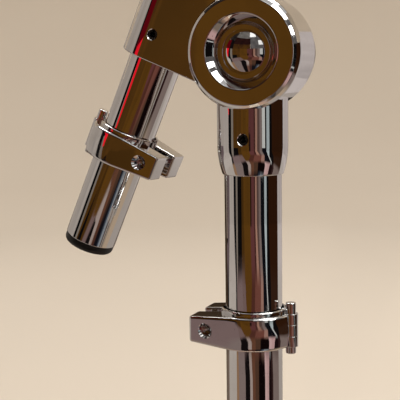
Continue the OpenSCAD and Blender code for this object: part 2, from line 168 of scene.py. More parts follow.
def solid(shape, name="working shape"):
    # a working shape as an object
    mesh = bpy.data.meshes.new(name)
    shape.to_mesh(mesh)
    shape.free()
    piece = bpy.data.objects.new(name, mesh)
    bpy.context.scene.collection.objects.link(piece)
    return piece


def combine(base, operation, *tools):
    # joins tools to base or cuts them from it
    for tool in tools:
        other = solid(tool) if isinstance(tool, bmesh.types.BMesh) else tool
        step = base.modifiers.new(operation, "BOOLEAN")
        step.operation = operation
        step.solver = "MANIFOLD"
        step.object = other
        bpy.context.view_layer.update()
        result = base.evaluated_get(bpy.context.evaluated_depsgraph_get())
        made = bpy.data.meshes.new_from_object(result)
        base.modifiers.clear()
        base.data = made
        bpy.data.objects.remove(other)
    return base


def finished(shape, name, place, look, body, nodes):
    # puts a shape in its place, gives it clean normals and its finish, hangs it on its body empty and hides the
    # CAD nodes that it replaces
    piece = solid(shape) if isinstance(shape, bmesh.types.BMesh) else shape
    piece.name = name
    mesh = piece.data
    mesh.name = name
    toRow = place @ Matrix.Scale(mm, 4)
    mesh.transform(toRow)
    if toRow.determinant() < 0:
        mesh.flip_normals()
    mesh.polygons.foreach_set("use_smooth", [True] * len(mesh.polygons))
    mesh.set_sharp_from_angle(angle=math.radians(sharpAngle))
    even = piece.modifiers.new("even normals", "WEIGHTED_NORMAL")
    even.keep_sharp = True
    even.weight = 50
    mesh.materials.clear()
    mesh.materials.append(look)
    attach(piece, body)
    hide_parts(*nodes)
    return piece


def painted(red, green, blue):
    # a colour as it looks on a screen, in scene light
    parts = []
    for value in (red, green, blue):
        value = value / 255
        parts.append(value / 12.92 if value <= 0.04045 else ((value + 0.055) / 1.055) ** 2.4)
    return (*parts, 1.0)


class Wire:
    # a socket that takes part in plain arithmetic
    def __init__(self, finish, socket):
        self.finish = finish
        self.socket = socket

    def maths(self, operation, first, second):
        return self.finish.node("ShaderNodeMath", {"operation": operation}, {0: first, 1: second})

    def __add__(self, other):
        return self.maths("ADD", self, other)

    def __radd__(self, other):
        return self.maths("ADD", other, self)

    def __sub__(self, other):
        return self.maths("SUBTRACT", self, other)

    def __rsub__(self, other):
        return self.maths("SUBTRACT", other, self)

    def __mul__(self, other):
        return self.maths("MULTIPLY", self, other)

    def __rmul__(self, other):
        return self.maths("MULTIPLY", other, self)


class Finish:
    # a material whose nodes are added one by one
    def __init__(self, name):
        self.material = bpy.data.materials.new(name)
        self.material.use_nodes = True
        self.tree = self.material.node_tree
        self.tree.nodes.clear()

    def node(self, kind, settings=None, inputs=None, output=0):
        made = self.tree.nodes.new(kind)
        for key, value in (settings or {}).items():
            if key == "stops":
                ramp = made.color_ramp
                while len(ramp.elements) < len(value):
                    ramp.elements.new(0.5)
                for element, (position, colour) in zip(ramp.elements, value):
                    element.position = position
                    element.color = colour
            else:
                setattr(made, key, value)
        for key, value in (inputs or {}).items():
            if isinstance(value, Wire):
                self.tree.links.new(value.socket, made.inputs[key])
            else:
                made.inputs[key].default_value = value
        return Wire(self, made.outputs[output]) if made.outputs else None

    def place(self):
        return self.node("ShaderNodeTexCoord", output="Object")

    def grain(self, size, detail=2.0, roughness=0.5, distortion=0.0):
        # noise whose lumps are about size metres across
        return self.node("ShaderNodeTexNoise", {"noise_dimensions": "3D"},
                         {"Vector": self.place(), "Scale": 1 / size, "Detail": detail,
                          "Roughness": roughness, "Distortion": distortion})

    def spread(self, value, low, high):
        # value from low..high stretched to 0..1, and kept there
        return self.node("ShaderNodeMapRange", {"clamp": True},
                         {"Value": value, "From Min": low, "From Max": high})

    def blend(self, factor, first, second):
        return self.node("ShaderNodeMix", {"data_type": "RGBA"}, {"Factor": factor, 6: first, 7: second}, 2)

    def bump(self, height, distance, strength=1.0, under=None):
        inputs = {"Height": height, "Distance": distance, "Strength": strength}
        if under is not None:
            inputs["Normal"] = under
        return self.node("ShaderNodeBump", {}, inputs)

    def surface(self, **sockets):
        names = {key.replace("_", " "): value for key, value in sockets.items()}
        shader = self.node("ShaderNodeBsdfPrincipled", {}, names)
        self.node("ShaderNodeOutputMaterial", {}, {"Surface": shader})
        return self.material


chromeLook = {
    "bright": (0.80, 0.80, 0.805, 1.0),
    "smoky": (0.70, 0.69, 0.68, 1.0),
    "speck": (0.35, 0.31, 0.27, 1.0),
    "polish": 0.03,  # roughness where the plate is clean
    "haze": 0.13,  # roughness where it was handled
    "dusty": 0.05,  # roughness that dust adds
    "ripple": 0.00002,  # height of the cast waviness under the plate, in metres
    "pit": 0.000004,
    "rippleSize": 0.011,  # the sizes of the patterns are in metres too
    "handledSize": 0.016,
    "dustSize": 0.0022,
    "speckSize": 0.0006,
}


def chrome(name, ripple, haze):
    # nickel and chrome plate: mirror bright, with handling haze, tiny pits and waviness
    look = Finish(name)
    cloud = look.grain(chromeLook["handledSize"], 3.0, 0.55, 0.4)
    handled = look.spread(cloud, 0.5, 0.72)
    fine = look.grain(chromeLook["dustSize"], 4.0, 0.6)
    dust = look.spread(fine, 0.62, 0.78)
    speck = look.spread(look.grain(chromeLook["speckSize"], 1.0), 0.70, 0.78)
    hazy = haze * (chromeLook["haze"] - chromeLook["polish"])
    roughness = chromeLook["polish"] + handled * hazy + dust * chromeLook["dusty"]
    colour = look.blend(handled * 0.5 + dust * 0.3, chromeLook["bright"], chromeLook["smoky"])
    colour = look.blend(speck * 0.35, colour, chromeLook["speck"])
    waves = look.bump(look.grain(chromeLook["rippleSize"], 1.0, 0.4), chromeLook["ripple"] * ripple)
    pits = look.bump(1.0 - speck, chromeLook["pit"], 0.6, waves)
    return look.surface(Base_Color=colour, Metallic=1.0, Roughness=roughness, Normal=pits)


zincLook = {
    "bright": (0.60, 0.60, 0.61, 1.0), "yellow": (0.56, 0.53, 0.44, 1.0), "roughness": 0.22, "cloudy": 0.16,
    "cloudSize": 0.006, "markSize": 0.0005, "markHeight": 0.00001,
}


def zincSteel(name):
    # bright zinc plate over turned steel, with a faint yellow passivation and tool marks
    look = Finish(name)
    cloud = look.grain(zincLook["cloudSize"], 3.0, 0.6)
    tint = look.blend(look.spread(cloud, 0.35, 0.7), zincLook["bright"], zincLook["yellow"])
    marks = look.grain(zincLook["markSize"], 3.0, 0.7)
    roughness = zincLook["roughness"] + look.spread(cloud, 0.3, 0.7) * zincLook["cloudy"]
    return look.surface(Base_Color=tint, Metallic=1.0, Roughness=roughness,
                        Normal=look.bump(marks, zincLook["markHeight"]))


plasticLook = {
    "black": (0.006, 0.006, 0.006, 1.0), "scuffed": (0.03, 0.028, 0.026, 1.0), "roughness": 0.34,
    "scuffRoughness": 0.25, "specular": 0.32, "scuffSize": 0.004, "grainSize": 0.00035,
    "grainHeight": 0.00001,
}


def blackPlastic(name):
    # satin moulded polyethylene with a fine grain and scuffs
    look = Finish(name)
    scuff = look.spread(look.grain(plasticLook["scuffSize"], 5.0, 0.7, 1.2), 0.56, 0.72)
    tint = look.blend(scuff * 0.5, plasticLook["black"], plasticLook["scuffed"])
    roughness = plasticLook["roughness"] + scuff * plasticLook["scuffRoughness"]
    grain = look.grain(plasticLook["grainSize"], 2.0)
    return look.surface(Base_Color=tint, Roughness=roughness, Specular_IOR_Level=plasticLook["specular"],
                        Normal=look.bump(grain, plasticLook["grainHeight"], 0.7))


oilLook = {
    "dark": (0.020, 0.021, 0.024, 1.0), "rubbed": (0.09, 0.088, 0.085, 1.0), "metal": 0.6,
    "roughness": 0.38, "rubbedRoughness": 0.12, "rubSize": 0.0016, "grainSize": 0.0004,
    "grainHeight": 0.000008,
}


def oiledSteel(name):
    # spring steel, blackened in oil, rubbed a little brighter in places
    look = Finish(name)
    rubbed = look.spread(look.grain(oilLook["rubSize"], 3.0, 0.6), 0.5, 0.75)
    tint = look.blend(rubbed * 0.6, oilLook["dark"], oilLook["rubbed"])
    roughness = oilLook["roughness"] + rubbed * oilLook["rubbedRoughness"]
    return look.surface(Base_Color=tint, Metallic=oilLook["metal"], Roughness=roughness,
                        Normal=look.bump(look.grain(oilLook["grainSize"], 2.0), oilLook["grainHeight"]))


tubeChrome = chrome("drawn tube chrome", 0.25, 0.8)
castChrome = chrome("cast chrome", 1.0, 1.0)
boltChrome = chrome("turned chrome", 0.35, 0.6)
zinc = zincSteel("zinc steel")
plastic = blackPlastic("black plastic")
oiled = oiledSteel("oiled spring steel")
print("finishes made")

tubeSet = {"edge": 0.35, "wall": 2.0, "pinHole": 2.03}


def pinHeight(node, place):
    # how far up its tube a cross pin lies
    low, high = span(node, place)
    return (low.z + high.z) / 2


def makeTube(name, node, place, body, pinNode):
    low, high = span(node, place)
    bore = tubeRadius - tubeSet["wall"]
    edge = tubeSet["edge"]
    shape = turned([(bore, low.z, edge), (tubeRadius, low.z, edge), (tubeRadius, high.z, edge),
                    (bore, high.z, edge)], around["tube"])
    drilled = moved(across(tubeSet["pinHole"], -2 * tubeRadius, 2 * tubeRadius),
                    Matrix.Translation((0, 0, pinHeight(pinNode, place))))
    finished(combine(solid(shape), "DIFFERENCE", drilled), name, place, tubeChrome, body, [node])


makeTube("postTube", "post_tube", row, "post", "post_cross_pin")
makeTube("armTube", "arm_tube", onArmTube, "arm", "arm_cross_pin")

endPlug = {
    "round": 2.2, "stemWall": 2.95, "stemGap": 0.05, "stemRound": 0.6, "floor": 1.0,
    "lip": 0.25, "lipIn": 0.3, "lipRounds": (0.2, 0.1), "hollowRounds": (0.4, 0.5),
    # the dish in its face: its depth, where it starts and ends as parts of the radius, roundings
    "dish": 0.5, "dishFrom": 0.45, "dishTo": 0.62, "dishRounds": (1.0, 1.2),
}


def makePlug(name, node, place, body, tubeNode):
    low, high = span(node, place)
    seat = span(tubeNode, place)[0].z
    radius = high.x
    dished = low.z + endPlug["dish"]
    stem = tubeRadius - tubeSet["wall"] - endPlug["stemGap"]
    hollow = stem - endPlug["stemWall"]
    floor = seat + endPlug["floor"]
    inner, outer = endPlug["dishRounds"]
    lipLow, lipHigh = endPlug["lipRounds"]
    mouth, bottom = endPlug["hollowRounds"]
    profile = [
        (0, dished, 0), (radius * endPlug["dishFrom"], dished, inner),
        (radius * endPlug["dishTo"], low.z, outer), (radius, low.z, endPlug["round"]),
        (radius, seat - endPlug["lip"], lipLow), (radius - endPlug["lipIn"], seat, lipHigh),
        (stem, seat, 0), (stem, high.z, endPlug["stemRound"]),
        (hollow, high.z, mouth), (hollow, floor, bottom), (0, floor, 0),
    ]
    finished(turned(profile), name, place, plastic, body, [node])


makePlug("postPlug", "post_end_plug", row, "post", "post_tube")
makePlug("armPlug", "arm_end_plug", onArmTube, "arm", "arm_tube")
print("tubes and plugs made")

# the front of the disc is cut back in two steps, the second steeper than the first
disc = {
    "rimCut": 1.2, "rimFlank": (1.0, 2.0), "rimRound": 0.25, "flankRound": 0.6,
    "back": 11.0, "backRound": 0.5, "boltHole": 4.4, "cavity": 9.5, "cavityFloor": -1.0,
    "recessMouth": 14.1, "recessFloor": 11.0, "recessSlope": 3.5, "recessRound": 0.4,
    "slopeRound": 0.3, "floorRound": 0.4,
    "ringIn": 11.0, "ringOut": 19.0, "ringSeat": 2.5, "ringEdge": 0.1,
}
bolt = {
    "dome": 16.8, "headHeight": 3.1, "domeRadius": 13.0,
    "flange": 21.0, "flangeThick": 1.5, "flangeRound": 0.5, "seatEdge": 0.2,
    "shank": 8.0, "neck": 5.0, "pitch": 1.25, "threadDepth": 0.6, "threadLength": 16.0, "point": 0.8,
}
collar = {
    "wall": 2.5, "tipWall": 0.6, "taper": 11.5, "tubeGap": 0.05, "boreEdge": 0.08, "tipRound": 0.35,
    "pinChamfer": 0.35, "lap": 1.0, "clear": 30.0, "top": -14.0,  # where it ends inside the disc
}


def pinHole(radius, reach, chamfer):
    # a cross hole along Y with a small chamfer at each mouth
    end = reach + 2 * overcut
    wide = radius + chamfer + 2 * overcut
    return moved(turned([(0, -end, 0), (wide, -end, 0), (radius, chamfer - reach, 0),
                         (radius, reach - chamfer, 0), (wide, end, 0), (0, end, 0)],
                        around["hole"]), alongY)


def makeDisc(low, high):
    # the round body of the post casting, with its recess, spring cavity and ring seat
    radius = high.z
    front = low.y
    back = disc["back"]
    seat = span("tilter_bolt", atTilter)[0].y + bolt["headHeight"] + bolt["flangeThick"]
    rim = disc["rimCut"]
    flankIn, flankBack = disc["rimFlank"]
    edge = disc["ringEdge"]
    profile = [
        (disc["boltHole"], seat, 0),
        (disc["recessFloor"], seat, disc["floorRound"]),
        (disc["recessFloor"], front + disc["recessSlope"], disc["slopeRound"]),
        (disc["recessMouth"], front, disc["recessRound"]),
        (radius - flankIn - rim, front, disc["rimRound"]),
        (radius - flankIn, front + rim, disc["rimRound"]),
        (radius, front + rim + flankBack, disc["flankRound"]),
        (radius, back, disc["backRound"]),
        (disc["ringOut"], back, edge), (disc["ringOut"], back - disc["ringSeat"], 0),
        (disc["ringIn"], back - disc["ringSeat"], 0), (disc["ringIn"], back, edge),
        (disc["cavity"], back, edge), (disc["cavity"], disc["cavityFloor"], 0),
        (disc["boltHole"], disc["cavityFloor"], 0),
    ]
    return solid(moved(turned(profile, around["tube"]), alongY))


def makePostCasting():
    low, high = span("post_casting", atTilter)
    radius = high.z
    bore = tubeRadius + collar["tubeGap"]
    outer = bore + collar["wall"]
    inset = collar["wall"] - collar["tipWall"]
    arcR = (collar["taper"] ** 2 + inset ** 2) / (2 * inset)
    sweep = math.degrees(math.asin(collar["taper"] / arcR))
    taper = arc((outer - arcR, low.z + collar["taper"]), arcR, -sweep, 0, 14)
    postTop = span("post_tube", atTilter)[1].z
    sleeve = solid(turned([(0, postTop, 0), (bore, postTop, 0), (bore, low.z, collar["boreEdge"]),
                           (*taper[0][:2], collar["tipRound"]), *taper[1:-1],
                           (outer, low.z + collar["taper"], 0), (outer, collar["top"], 0),
                           (0, collar["top"], 0)], around["tube"]))
    # the sleeve reaches a little way into the disc, and none of it stands behind the disc's back
    clear = collar["clear"]
    lap = collar["lap"]
    combine(sleeve, "DIFFERENCE", across(radius - lap, -clear, clear, 0, around["tube"]),
            block((-clear, disc["back"], -radius - lap / 2), (clear, clear, clear)))
    casting = combine(makeDisc(low, high), "UNION", sleeve)
    hole = moved(pinHole(tubeSet["pinHole"], outer, collar["pinChamfer"]),
                 Matrix.Translation((0, 0, pinHeight("post_cross_pin", atTilter))))
    combine(casting, "DIFFERENCE", hole)
    finished(casting, "postCasting", atTilter, castChrome, "post", ["post_casting"])


makePostCasting()


def makeTilterBolt():
    low, high = span("tilter_bolt", atTilter)
    base = low.y + bolt["headHeight"]
    seat = base + bolt["flangeThick"]
    ball = bolt["domeRadius"]
    sweep = math.degrees(math.asin(bolt["dome"] / 2 / ball))
    dome = arc((0, low.y + ball), ball, -90, sweep - 90, 30)
    flange = bolt["flange"] / 2
    shank = bolt["shank"] / 2
    point = bolt["point"]
    profile = [(0, low.y, 0), *dome[1:], (flange, base, bolt["flangeRound"]),
               (flange, seat, bolt["seatEdge"]), (shank, seat, 0), (shank, seat + bolt["neck"], 0),
               *thread(shank, -bolt["threadDepth"], bolt["pitch"], high.y - bolt["threadLength"],
                       high.y - point),
               (shank - point, high.y, 0), (0, high.y, 0)]
    finished(moved(turned(profile), alongY), "tilterBolt", atTilter, boltChrome, "post", ["tilter_bolt"])


makeTilterBolt()
print("post casting and bolt made")

arm = {
    "wall": 3.6, "half": 20.8, "edge": 0.45, "webX": -4.0, "webDepth": 11.0, "webRound": 1.5,
    "waistX": -18.0, "waistInset": 2.0, "waistRound": 6.0, "tubeGap": 0.05, "cavity": 9.5,
    "cavityDepth": 7.7, "boltHole": 4.07, "boltHoleEnd": 60.0,
}
hub = {
    "radius": 21.6, "depth": 24.7, "edge": 0.5, "edgeDepth": 1.5, "edgeRound": 0.8, "waistInset": 3.6,
    "waistDepth": 6.0, "waistRound": 3.0, "endInset": 7.0, "endDepth": 1.0, "endRound": 1.5, "boss": 12.0,
    "bossSlope": 0.4, "bossHeight": 0.5, "bossRound": 0.25, "footRound": 0.4,
}


def hubShape(face):
    # the round body behind the tilter disc, which narrows towards the wing nut
    back = face + hub["depth"]
    radius = hub["radius"]
    bossTop = back + hub["bossHeight"]
    return turned([
        (0, face, 0), (radius, face, hub["edge"]), (radius, face + hub["edgeDepth"], hub["edgeRound"]),
        (radius - hub["waistInset"], back - hub["waistDepth"], hub["waistRound"]),
        (radius - hub["endInset"], back - hub["endDepth"], hub["endRound"]),
        (hub["boss"] + hub["bossSlope"], back, hub["footRound"]), (hub["boss"], bossTop, hub["bossRound"]),
        (0, bossTop, 0),
    ], around["tube"])


def makeArmCasting():
    tubeLow, tubeHigh = span("arm_tube", inArm)
    middle = ((tubeLow.x + tubeHigh.x) / 2, (tubeLow.y + tubeHigh.y) / 2)
    bore = tubeRadius + arm["tubeGap"]
    socket = bore + arm["wall"]
    face = middle[1] - socket
    half = arm["half"]
    outline = [
        *arc(middle, socket, 90, 270, 90),
        (arm["webX"], face, 0), (arm["webX"], face + arm["webDepth"], arm["webRound"]),
        (arm["waistX"], face + hub["depth"] - arm["waistInset"], arm["waistRound"]),
    ]
    web = solid(slab(outline, -half, half, arm["edge"], 5))
    casting = combine(web, "UNION", solid(moved(hubShape(face), alongY)))
    seat = face + disc["ringSeat"]
    ring = turned([(disc["ringIn"], face - overcut, 0), (disc["ringOut"], face - overcut, 0),
                   (disc["ringOut"], seat, 0), (disc["ringIn"], seat, 0)])
    hole = moved(pinHole(tubeSet["pinHole"], socket, collar["pinChamfer"]),
                 Matrix.Translation((*middle, pinHeight("arm_cross_pin", inArm))))
    combine(casting, "DIFFERENCE",
            moved(rod(bore, -half - overcut, tubeHigh.z, 0, around["ring"]),
                  Matrix.Translation((*middle, 0))),
            across(arm["boltHole"], 0, arm["boltHoleEnd"]),
            across(arm["cavity"], face - overcut, face + arm["cavityDepth"]),
            moved(ring, alongY), hole)
    finished(casting, "armCasting", inArm, castChrome, "arm", ["arm_casting"])


makeArmCasting()
print("arm casting made")

washer = {"holeEdge": 0.15, "seatEdge": 0.3, "edge": 0.6}
wing = {
    "hub": 7.6, "hubHeight": 10.0, "draft": 1.5, "seatEdge": 0.4, "hubEdge": 1.0, "hole": 4.07,
    "thick": 4.0, "tip": 6.5, "tipFrom": 190, "tipTo": -30, "lift": 3.0, "liftEnd": 0.8, "edge": 1.1,
    "foot": 1.2, "footEnd": 0.6, "holeEnd": 20.0,
    # where the blade's edges bend, as a part of its height, and how softly
    "lower": (0.6, 8.0), "upper": (0.45, 6.0),
}


def makeWasher():
    low, high = span("clamp_washer", atTilter)
    radius = high.x
    profile = [(wing["hole"], low.y, washer["holeEdge"]), (radius, low.y, washer["seatEdge"]),
               (radius, high.y, washer["edge"]), (wing["hole"], high.y, washer["holeEdge"])]
    finished(moved(turned(profile), alongY), "clampWasher", atTilter, boltChrome, "clamp_washer",
             ["clamp_washer"])


def makeWingNut():
    low, high = span("wing_nut", atTilter)
    base = low.y
    hubEnd = base + wing["hubHeight"]
    tipZ = high.z - wing["tip"]
    nutHub = solid(moved(turned([(0, base, 0), (wing["hub"], base, wing["seatEdge"]),
                                 (wing["hub"] - wing["draft"], hubEnd, wing["hubEdge"]),
                                 (0, hubEnd, 0)]), alongY))
    # the blade's outline: distance along Y, height
    tip = arc((base + wing["tip"] + wing["lift"], tipZ), wing["tip"], wing["tipFrom"], wing["tipTo"], 40)
    lowerBend, lowerRound = wing["lower"]
    upperBend, upperRound = wing["upper"]
    outline = [(base + wing["foot"], 0, 0), (base + wing["lift"], tipZ * lowerBend, lowerRound), *tip[1:-1],
               (hubEnd + wing["lift"] * wing["liftEnd"], tipZ * upperBend, upperRound),
               (hubEnd - wing["footEnd"], 0, 0)]
    mirrored = [(y, -z, rounding) for y, z, rounding in reversed(outline[1:-1])]
    blade = slab(outline + mirrored, -wing["thick"] / 2, wing["thick"] / 2, wing["edge"], 6)
    # drawn flat in XY, then stood up so that x runs along Y and y along Z
    stand = Matrix(((0, 0, 1, 0), (1, 0, 0, 0), (0, 1, 0, 0), (0, 0, 0, 1)))
    nut = combine(nutHub, "UNION", moved(blade, stand))
    combine(nut, "DIFFERENCE", across(wing["hole"], base - overcut, hubEnd + wing["holeEnd"]))
    finished(nut, "wingNut", atTilter, castChrome, "wing_nut", ["wing_nut"])


makeWasher()
makeWingNut()
print("wing nut made")

lockShape = {
    "height": 13.0, "wall": 4.6, "gap": 0.06, "split": 0.9, "edge": 0.9,
    "earReach": 22.6, "earHeight": 10.0, "earTaper": 8.0, "earGap": 6.4, "earRound": 1.1, "gapRound": 1.0,
    "taperStart": 4.0, "taperEase": 2.0, "taperPast": 1.0,
    "crown": 60.0, "crownDepth": 1.2, "crownEnd": 6.0, "crownFade": 8.0, "crownCuts": 4, "crownStep": 1.25,
    "ringWall": 1.7, "ringHeight": 1.6, "ringRound": 0.6,
    "hinge": 15.2, "hingePin": 4.0, "pinGap": 0.04, "pinRound": 0.5,
    "knuckle": 2.8, "knuckleHalf": 2.21, "knuckleGap": 0.09, "knuckleRound": 0.12,
    "keyOff": 15.8, "keyHole": 2.55, "keySlack": 3.3, "spot": 5.6, "chamfer": 0.45, "pitch": 0.8,
    "threadDepth": 0.32, "threadStart": 0.3,
}


def cutAcross(shape, point, normal):
    # adds a row of corners where a plane crosses the shape
    bmesh.ops.bisect_plane(shape, geom=shape.verts[:] + shape.edges[:] + shape.faces[:], dist=0.0001,
                           plane_co=point, plane_no=normal)


def crownBand(shape, band):
    # the round outside of the band is slightly barrel shaped
    size = lockShape
    for i in range(-size["crownCuts"], size["crownCuts"] + 1):
        cutAcross(shape, (0, 0, i * size["crownStep"]), (0, 0, 1))
    for vertex in shape.verts:
        out = math.hypot(vertex.co.x, vertex.co.y)
        if out > band - size["crownDepth"]:
            share = min(max((size["crownEnd"] - vertex.co.x) / size["crownFade"], 0), 1)
            pull = vertex.co.z ** 2 / (2 * size["crown"]) * share
            vertex.co.x *= 1 - pull / out
            vertex.co.y *= 1 - pull / out


def taperEar(shape):
    # the ear gets lower towards its end, and the taper starts softly
    size = lockShape
    start = size["taperStart"]
    ease = size["taperEase"]
    rate = (1 - size["earHeight"] / size["height"]) / (size["earReach"] + size["taperPast"] - start)
    for vertex in shape.verts:
        past = vertex.co.x - start
        eased = max(past, 0) if abs(past) > ease else (past + ease) ** 2 / (4 * ease)
        vertex.co.z *= 1 - rate * eased


def cutKeyHole(body, front, faceY, band):
    # a threaded hole in the front half, or a clear one with a seat for the washer in the rear half
    size = lockShape
    toKey = Matrix.Translation((size["keyOff"], 0, 0))
    if not front:
        seat = faceY(size["keyOff"] + size["spot"])
        combine(body, "DIFFERENCE", moved(across(size["keySlack"], 0, 2 * band), toKey),
                moved(across(size["spot"], seat, 2 * band), toKey))
        return
    radius = size["keyHole"]
    chamfer = size["chamfer"]
    mouth = faceY(size["keyOff"])
    wide = radius + 2 * chamfer
    start = size["earGap"] / 2 + size["threadStart"]
    cut = thread(radius, size["threadDepth"], size["pitch"], start, mouth - chamfer)
    hole = turned([(0, 0, 0), (radius, 0, 0), *cut, (radius, mouth - chamfer, 0),
                   (wide, mouth + chamfer, 0), (wide, 2 * band, 0), (0, 2 * band, 0)], around["hole"])
    combine(body, "DIFFERENCE", moved(hole, toKey @ alongY))


def lockHalf(front):
    # one half on the +y side, with its ear at +x and its hinge at -x
    size = lockShape
    bore = tubeRadius + size["gap"]
    band = tubeRadius + size["wall"]
    slope = math.radians(size["earTaper"])
    half = size["height"] / 2
    splitY = size["split"] / 2
    gapY = size["earGap"] / 2

    def faceY(x):
        return (band - x * math.sin(slope)) / math.cos(slope)

    def angleAt(y, radius):
        return math.degrees(math.asin(y / radius))

    inside = arc((0, 0), bore, 180 - angleAt(splitY, bore), angleAt(gapY, bore), 90)
    outline = [
        *inside, (size["earReach"], gapY, size["gapRound"]),
        (size["earReach"], faceY(size["earReach"]), size["earRound"]),
        *arc((0, 0), band, 90 - size["earTaper"], 180 - angleAt(splitY, band), 60),
    ]
    shape = slab(outline, -half, half, size["edge"], 4)
    for step in (-2, -1, 0, 1, 2):
        cutAcross(shape, (size["taperStart"] + step, 0, 0), (1, 0, 0))
    crownBand(shape, band)
    taperEar(shape)
    body = solid(shape)

    gap = size["knuckleGap"]
    reach = size["knuckleHalf"]
    knuckleCut = size["knuckle"] + gap
    toHinge = Matrix.Translation((-size["hinge"], 0, 0))
    if front:
        combine(body, "DIFFERENCE", moved(rod(knuckleCut, -reach - gap, reach + gap), toHinge))
        knuckles = [(reach + gap, half), (-half, -reach - gap)]
    else:
        combine(body, "DIFFERENCE", moved(rod(knuckleCut, reach, 2 * half), toHinge),
                moved(rod(knuckleCut, -2 * half, -reach), toHinge))
        knuckles = [(-reach, reach)]
    ringOut = bore + size["ringWall"]
    outside = arc((0, 0), ringOut, angleAt(gapY, ringOut), 180 - angleAt(splitY, ringOut), 90)
    combine(body, "UNION", slab(inside + outside, 0, half + size["ringHeight"], size["ringRound"], 5))
    for low, high in knuckles:
        combine(body, "UNION", moved(rod(size["knuckle"], low, high, size["knuckleRound"]), toHinge))
    pinRadius = size["hingePin"] / 2 + (0 if front else size["pinGap"])
    combine(body, "DIFFERENCE", moved(rod(pinRadius, -2 * half, 2 * half), toHinge),
            rod(bore, -2 * half, 3 * half, 0, around["bore"]))
    cutKeyHole(body, front, faceY, band)
    return body


def makeHingePin(lock, tag, place):
    low, high = span(lock + "_hinge_pin", place)
    pin = moved(rod(lockShape["hingePin"] / 2, low.z, high.z, lockShape["pinRound"], around["pin"]),
                Matrix.Translation((-lockShape["hinge"], 0, 0)))
    finished(pin, tag + "HingePin", place, boltChrome, lock, [lock + "_hinge_pin"])


keyBolt = {
    "shank": 2.5, "pitch": 0.8, "threadDepth": 0.3, "threadLength": 7.0, "point": 2.1, "seatGap": 0.06,
    "flange": 4.2, "flangeThick": 1.5, "flangeEdge": 0.35, "seatEdge": 0.15, "square": 5.6,
    "squareRound": 0.4, "squareEdge": 0.35, "squareSunk": 0.3, "washerGap": 0.05, "washerEdge": 0.2,
    "washerHoleEdge": 0.1,
}


def makeKeyBolt(lock, tag, place):
    # a shank with a flange and a square head that a drum key turns
    size = keyBolt
    low, high = span(lock + "_key_bolt", place)
    seat = span(lock + "_washer", place)[0].y - size["seatGap"]
    flange = seat - size["flangeThick"]
    radius = size["shank"]
    point = size["point"]
    toKey = Matrix.Translation((lockShape["keyOff"], 0, 0)) @ alongY
    shank = solid(moved(turned([
        (0, flange, 0), (size["flange"], flange, size["flangeEdge"]),
        (size["flange"], seat, size["seatEdge"]), (radius, seat, 0),
        *thread(radius, -size["threadDepth"], size["pitch"], high.y - size["threadLength"], high.y - point),
        (radius - point, high.y, 0), (0, high.y, 0)], around["hole"]), toKey))
    side = size["square"] / 2
    corner = size["squareRound"]
    corners = [(x * side, y * side, corner) for x, y in ((-1, -1), (1, -1), (1, 1), (-1, 1))]
    square = slab(corners, low.y, flange + size["squareSunk"], size["squareEdge"])
    combine(shank, "UNION", moved(square, toKey))
    finished(shank, tag + "KeyBolt", place, boltChrome, lock + "_key_bolt", [lock + "_key_bolt"])


def makeLockWasher(lock, tag, place):
    low, high = span(lock + "_washer", place)
    outer = (high.z - low.z) / 2
    inner = keyBolt["shank"] + keyBolt["washerGap"]
    edge = keyBolt["washerEdge"]
    holeEdge = keyBolt["washerHoleEdge"]
    ring = turned([(inner, low.y, holeEdge), (outer, low.y, edge), (outer, high.y, edge),
                   (inner, high.y, holeEdge)], around["hole"])
    toKey = Matrix.Translation((lockShape["keyOff"], 0, 0)) @ alongY
    finished(moved(ring, toKey), tag + "Washer", place, zinc, lock + "_washer", [lock + "_washer"])


def makeLock(lock, tag):
    place = lockFrames[lock]
    flipped = place @ Matrix.Scale(-1, 4, (0, 1, 0))
    finished(lockHalf(True), tag + "Front", place, castChrome, lock, [lock + "_front"])
    finished(lockHalf(False), tag + "Rear", flipped, castChrome, lock + "_rear", [lock + "_rear"])
    makeHingePin(lock, tag, place)
    makeKeyBolt(lock, tag, place)
    makeLockWasher(lock, tag, place)


makeLock("post_lock", "postLock")
makeLock("arm_lock", "armLock")
print("stop locks made")

# what the castings hide keeps its CAD shape and gets its finish
for hidden in ("front_ratchet_ring", "rear_ratchet_ring", "tilter_spring", "post_cross_pin",
               "arm_cross_pin"):
    slots = frame["nodes"][hidden].data.materials
    slots.clear()
    slots.append(zinc if hidden.endswith("ratchet_ring") else oiled)
print("hidden pieces finished")

studio = {
    "floor": -0.0722, "bowl": 2.2, "bend": 0.9, "wall": 2.4, "colour": painted(218, 207, 192),
    "patch": painted(208, 196, 180), "patchSize": 0.5, "roughness": 0.9, "middle": (0.0, 0.0, 0.12),
}


def makeStage():
    # a pale bowl: a floor that bends up into a wall all round
    look = Finish("pale backdrop")
    patch = look.spread(look.grain(studio["patchSize"], 3.0), 0.3, 0.7)
    colour = look.blend(patch * 0.25, studio["colour"], studio["patch"])
    material = look.surface(Base_Color=colour, Roughness=studio["roughness"])
    floor = studio["floor"] / mm
    reach = studio["bowl"] / mm
    profile = [(0, floor, 0), (reach, floor, studio["bend"] / mm), (reach, floor + studio["wall"] / mm, 0)]
    shape = wire(profile, lambda out, up: (out, 0, up), False)
    bmesh.ops.spin(shape, geom=shape.verts[:] + shape.edges[:], cent=(0, 0, 0), axis=(0, 0, 1),
                   angle=math.tau, steps=128, use_merge=True)
    bmesh.ops.remove_doubles(shape, verts=shape.verts[:], dist=0.01)
    bmesh.ops.recalc_face_normals(shape, faces=shape.faces[:])
    bowl = solid(shape, "backdrop")
    bowl.data.transform(Matrix.Scale(mm, 4))
    bowl.data.polygons.foreach_set("use_smooth", [True] * len(bowl.data.polygons))
    bowl.data.materials.append(material)


makeStage()
